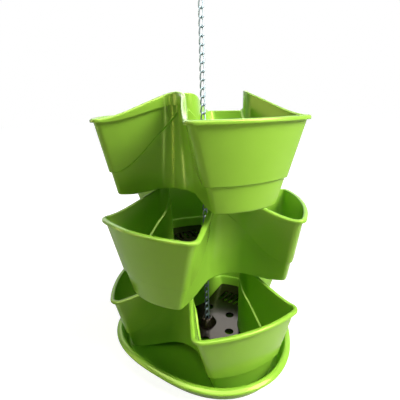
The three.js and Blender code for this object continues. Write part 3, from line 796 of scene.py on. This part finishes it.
# %% Chain tree
def chain_tree():
    """Nothing in, the whole chain out: a circle is parted into two bows, and the legs span the gap."""
    tree, size = new_tree("twisted_chain", [
        "Wire radius", "Bow radius", "Half length", "Twist", "Pitch", "First height"])
    circle = add_node(tree, "GeometryNodeCurvePrimitiveCircle", {"Resolution": LINK_POINTS, "Radius": 1.0})
    place = add_node(tree, "GeometryNodeInputPosition")
    x, y, _ = add_node(tree, "ShaderNodeSeparateXYZ", {0: place}).outputs
    half_leg = add_node(tree, "ShaderNodeMath", {0: size["Half length"], 1: size["Bow radius"]},
                        operation="SUBTRACT")
    side = add_node(tree, "ShaderNodeMapRange", {
        "Value": y, "From Min": -LEG_SPAN_SHARE, "From Max": LEG_SPAN_SHARE, "To Min": -1.0, "To Max": 1.0})
    bow_height = add_node(tree, "ShaderNodeMath", {0: y, 1: size["Bow radius"]}, operation="MULTIPLY")
    leg_height = add_node(tree, "ShaderNodeMath", {0: side, 1: half_leg}, operation="MULTIPLY")
    height = add_node(tree, "ShaderNodeMath", {0: bow_height, 1: leg_height}, operation="ADD")
    height_share = add_node(tree, "ShaderNodeMath", {0: height, 1: size["Half length"]}, operation="DIVIDE")
    half_twist = add_node(tree, "ShaderNodeMath", {0: size["Twist"], 1: 0.5}, operation="MULTIPLY")
    turn = add_node(tree, "ShaderNodeMath", {0: height_share, 1: half_twist}, operation="MULTIPLY")
    out = add_node(tree, "ShaderNodeMath", {0: x, 1: size["Bow radius"]}, operation="MULTIPLY")
    cosine = add_node(tree, "ShaderNodeMath", {0: turn}, operation="COSINE")
    sine = add_node(tree, "ShaderNodeMath", {0: turn}, operation="SINE")
    turned_x = add_node(tree, "ShaderNodeMath", {0: out, 1: cosine}, operation="MULTIPLY")
    turned_y = add_node(tree, "ShaderNodeMath", {0: out, 1: sine}, operation="MULTIPLY")
    bent = add_node(tree, "ShaderNodeCombineXYZ", {0: turned_x, 1: turned_y, 2: height})
    oval = add_node(tree, "GeometryNodeSetPosition", {"Geometry": circle, "Position": bent})
    wire = add_node(tree, "GeometryNodeCurvePrimitiveCircle", {
        "Resolution": LINK_SIDES, "Radius": size["Wire radius"]})
    link = add_node(tree, "GeometryNodeCurveToMesh", {"Curve": oval, "Profile Curve": wire})
    start = add_node(tree, "ShaderNodeCombineXYZ", {2: size["First height"]})
    step = add_node(tree, "ShaderNodeCombineXYZ", {2: size["Pitch"]})
    line = add_node(tree, "GeometryNodeMeshLine", {
        "Count": LINK_COUNT, "Start Location": start, "Offset": step})
    links = add_node(tree, "GeometryNodeInstanceOnPoints", {"Points": line, "Instance": link})
    return finish_tree(tree, links, zinc)


# %% Chain
chain = grow("twisted_link_chain", chain_tree(), {
    "Wire radius": WIRE / 2 * MM, "Bow radius": (LINK_WIDTH + WIRE) / 2 * MM,
    "Half length": (LINK_LENGTH / 2 + WIRE / 2) * MM, "Twist": LINK_TWIST, "Pitch": LINK_PITCH * MM,
    "First height": FIRST_LINK * MM})
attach(chain, "root")
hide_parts(*[f"chain_link_{i + 1:02d}" for i in range(LINK_COUNT)])
print(chain.name, "faces:", len(chain.data.polygons))

# %% [markdown]
# ## Pin and hook
# Under the saucer a short steel pin lies across the boss and takes the chain's pull. At the top an
# S of wire joins the last link to whatever the tower hangs from. Both follow a path, so one small
# tree serves them: a line of edges in, wire with rounded ends out.

# %% Rounded wire ends
ROD_SIDES = 20
DOME_TIP_SHARE = 0.02
DOME_SHARES = (0, 0.05, 0.15, 0.3, 0.5, 0.75, 1.0)


# %% Wire tree
def wire_tree():
    """A line of edges in; wire of the given radius out, its ends drawn in to a dome."""
    tree, given = new_tree("bent_wire", ["Wire radius"])
    path = add_node(tree, "GeometryNodeMeshToCurve", {"Mesh": given["Geometry"]})
    along = add_node(tree, "GeometryNodeSplineParameter").outputs["Length"]
    whole = add_node(tree, "GeometryNodeSplineLength").outputs["Length"]
    back = add_node(tree, "ShaderNodeMath", {0: whole, 1: along}, operation="SUBTRACT")
    nearest = add_node(tree, "ShaderNodeMath", {0: along, 1: back}, operation="MINIMUM")
    in_radii = add_node(tree, "ShaderNodeMath", {0: nearest, 1: given["Wire radius"]}, operation="DIVIDE")
    share = add_node(tree, "ShaderNodeMath", {0: in_radii, 1: 1.0}, operation="MINIMUM")
    short = add_node(tree, "ShaderNodeMath", {0: 1.0, 1: share}, operation="SUBTRACT")
    short_squared = add_node(tree, "ShaderNodeMath", {0: short, 1: short}, operation="MULTIPLY")
    left_over = add_node(tree, "ShaderNodeMath", {0: 1.0, 1: short_squared}, operation="SUBTRACT")
    open_end = add_node(tree, "ShaderNodeMath", {0: DOME_TIP_SHARE ** 2, 1: left_over}, operation="MAXIMUM")
    dome = add_node(tree, "ShaderNodeMath", {0: open_end}, operation="SQRT")
    profile = add_node(tree, "GeometryNodeCurvePrimitiveCircle", {
        "Resolution": ROD_SIDES, "Radius": given["Wire radius"]})
    wire = add_node(tree, "GeometryNodeCurveToMesh", {
        "Curve": path, "Profile Curve": profile, "Scale": dome, "Fill Caps": True})
    return finish_tree(tree, wire, zinc)


def wire_path(points, radius):
    """The path's points in mm, with extra ones near both ends where the wire is drawn in."""
    points = [np.asarray(p, float) for p in points]
    for _ in range(2):
        along = (points[1] - points[0]) / np.linalg.norm(points[1] - points[0])
        points = [points[0] + along * radius * s for s in DOME_SHARES] + points[1:]
        points.reverse()
    return points


# %% Pin and hook
PIN_DIAMETER, PIN_LENGTH, PIN_HEIGHT = 3, 24, 6.5
HOOK_WIRE, HOOK_LOWER, HOOK_UPPER, HOOK_TIP, HOOK_STRAIGHT = 3, 5, 9, 4, 14
bent_wire = wire_tree()


def wire_piece(name, points, diameter, turn, nodes):
    path = wire_path(points, diameter / 2)
    made = grow(name, bent_wire, {"Wire radius": diameter / 2 * MM}, [tuple(p * MM) for p in path],
                chain_of_edges(len(path), False))
    made.data.transform(Matrix.Rotation(turn, 4, "Z"))
    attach(made, "root")
    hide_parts(*nodes)
    print(made.name, "faces:", len(made.data.polygons))


def arc(x, z, radius, start, end, steps=28):
    return [(x + radius * math.cos(a), 0, z + radius * math.sin(a)) for a in np.linspace(start, end, steps)]


pin_points = [(0, -PIN_LENGTH / 2, PIN_HEIGHT), (0, PIN_LENGTH / 2, PIN_HEIGHT)]
wire_piece("anchor_cross_pin", pin_points, PIN_DIAMETER, -LINK_TWIST / 2, ["anchor_pin"])

last_link = FIRST_LINK + (LINK_COUNT - 1) * LINK_PITCH
lower_centre = last_link + LINK_LENGTH / 2 - SEAT_GAP - HOOK_WIRE / 2 + HOOK_LOWER
upper_centre = lower_centre + HOOK_STRAIGHT
hook_points = [(-HOOK_LOWER, 0, lower_centre + HOOK_TIP)]
hook_points += arc(0, lower_centre, HOOK_LOWER, -math.pi, 0)
hook_points += arc(HOOK_LOWER - HOOK_UPPER, upper_centre, HOOK_UPPER, 0, math.pi)
hook_points += [(HOOK_LOWER - 2 * HOOK_UPPER, 0, upper_centre - HOOK_TIP)]
wire_piece("s_hook", hook_points, HOOK_WIRE, LINK_TWIST / 2 + math.pi / 2, ["hook"])

# %% [markdown]
# ## Floor, lamps and world
# The photograph is a cut-out on white. The floor is a plain pale sheet that keeps the object's
# shadow. Only the camera sees it brightened to white, fully so further out, where it meets the
# white world, and reflections see it brightened less. The key stands to the right, above the
# camera, and weaker lamps fill from below it, warmly from the left, from above and from behind.
# The lamps named sheen and strip are seen in reflections alone: the large ones give the lips their
# pale bands, and the narrow ones draw the upright streaks in the polished valleys.

# %% Sizes of the studio, in metres, and how white the floor is seen
FLOOR_HALF_WIDTH = 6.0
NEAR_REACH, FAR_REACH = 0.2, 1.4
NEAR_WHITE, FAR_WHITE, MIRRORED_WHITE = 0.9, 1.0, 0.35
LAMP_DISTANCE, STRIP_DISTANCE, LAMP_AIM_HEIGHT = 1.6, 0.75, 0.22


# %% Floor and world
def seen_rays(tree):
    """1 for rays that show the background: straight from the camera, mirrored or let through."""
    path = add_node(tree, "ShaderNodeLightPath").outputs
    seen = add_node(tree, "ShaderNodeMath", {0: path["Is Camera Ray"], 1: path["Is Glossy Ray"]},
                    operation="MAXIMUM")
    return add_node(tree, "ShaderNodeMath", {0: seen, 1: path["Is Transmission Ray"]}, operation="MAXIMUM")


def studio_floor():
    made, tree = new_material("pale_studio_floor")
    lit = add_node(tree, "ShaderNodeBsdfDiffuse", {"Color": linear("#a8a8a6")})
    place = add_node(tree, "ShaderNodeTexCoord").outputs["Object"]
    reach = add_node(tree, "ShaderNodeVectorMath", {0: place}, operation="LENGTH").outputs["Value"]
    seen_white = add_node(tree, "ShaderNodeMapRange", {
        "Value": reach, "From Min": NEAR_REACH, "From Max": FAR_REACH,
        "To Min": NEAR_WHITE, "To Max": FAR_WHITE})
    straight = add_node(tree, "ShaderNodeLightPath").outputs["Is Camera Ray"]
    other = add_node(tree, "ShaderNodeMath", {0: seen_rays(tree), 1: straight}, operation="SUBTRACT")
    mirrored = add_node(tree, "ShaderNodeMath", {0: other, 1: MIRRORED_WHITE}, operation="MULTIPLY")
    strength = add_node(tree, "ShaderNodeMath", {0: straight, 1: seen_white, 2: mirrored},
                        operation="MULTIPLY_ADD")
    glow = add_node(tree, "ShaderNodeEmission", {"Color": linear("#ffffff"), "Strength": strength})
    both = add_node(tree, "ShaderNodeAddShader", {0: lit, 1: glow})
    add_node(tree, "ShaderNodeOutputMaterial", {"Surface": both})
    w = FLOOR_HALF_WIDTH
    mesh = bpy.data.meshes.new("floor")
    mesh.from_pydata([(-w, -w, 0), (w, -w, 0), (w, w, 0), (-w, w, 0)], [], [(0, 1, 2, 3)])
    mesh.materials.append(made)
    floor = bpy.data.objects.new("floor", mesh)
    bpy.context.scene.collection.objects.link(floor)


def studio_world(ambient, background):
    world = bpy.data.worlds.new("studio")
    world.use_nodes = True
    tree = world.node_tree
    tree.nodes.clear()
    strength = add_node(tree, "ShaderNodeMapRange", {
        "Value": seen_rays(tree), "To Min": ambient, "To Max": background})
    light = add_node(tree, "ShaderNodeBackground", {"Color": linear("#ffffff"), "Strength": strength})
    add_node(tree, "ShaderNodeOutputWorld", {"Surface": light})
    bpy.context.scene.world = world


studio_floor()
studio_world(ambient=0.0, background=1.0)
print("floor and world:", bpy.context.scene.world.name)


# %% Lamps
def softbox(name, azimuth, elevation, width, height, power, colour="#ffffff", distance=LAMP_DISTANCE,
            mirrored_only=False):
    """A rectangular lamp that faces the middle of the tower. Azimuth 0 is in front, as in the views."""
    a, e = math.radians(azimuth), math.radians(elevation)
    back = Vector((math.sin(a) * math.cos(e), -math.cos(a) * math.cos(e), math.sin(e)))
    lamp = bpy.data.lights.new(name, "AREA")
    lamp.shape, lamp.size, lamp.size_y = "RECTANGLE", width, height
    lamp.energy, lamp.color = power, linear(colour)[:3]
    holder = bpy.data.objects.new(name, lamp)
    holder.location = Vector((0, 0, LAMP_AIM_HEIGHT)) + back * distance
    holder.rotation_mode = "QUATERNION"
    holder.rotation_quaternion = (-back).to_track_quat("-Z", "Y")
    holder.visible_diffuse = not mirrored_only
    bpy.context.scene.collection.objects.link(holder)


def strip(name, azimuth, width, power, colour="#ffffff"):
    """A narrow upright lamp close to the tower, seen in reflections alone."""
    softbox(name, azimuth, elevation=3, width=width, height=0.5, power=power, colour=colour,
            distance=STRIP_DISTANCE, mirrored_only=True)


softbox("key", 40, 42, 0.7, 0.7, 51, "#fff0e4")
softbox("low fill", 40, 12, 0.7, 0.7, 6, "#fff0e4")
softbox("left window", -100, 12, 0.4, 0.9, 7, "#ffeebc")
softbox("ceiling", 60, 75, 0.9, 0.9, 4)
softbox("back fill", 205, 30, 0.9, 0.9, 6)
softbox("front sheen", 0, 58, 2.4, 1.6, 110, mirrored_only=True)
softbox("left sheen", -90, 60, 1.2, 1.2, 50, mirrored_only=True)
softbox("back sheen", 165, 38, 1.2, 0.5, 7, mirrored_only=True)
strip("strip behind the camera", -34, 0.05, 0.8)
strip("left strip", -66, 0.03, 0.8, "#fff0b0")
strip("far left strip", -112, 0.04, 1.0, "#fff0b0")

# %% [markdown]
# ## Finish
# The view transform is set to Standard.

# %% Finish
bpy.context.scene.view_settings.view_transform = "Standard"
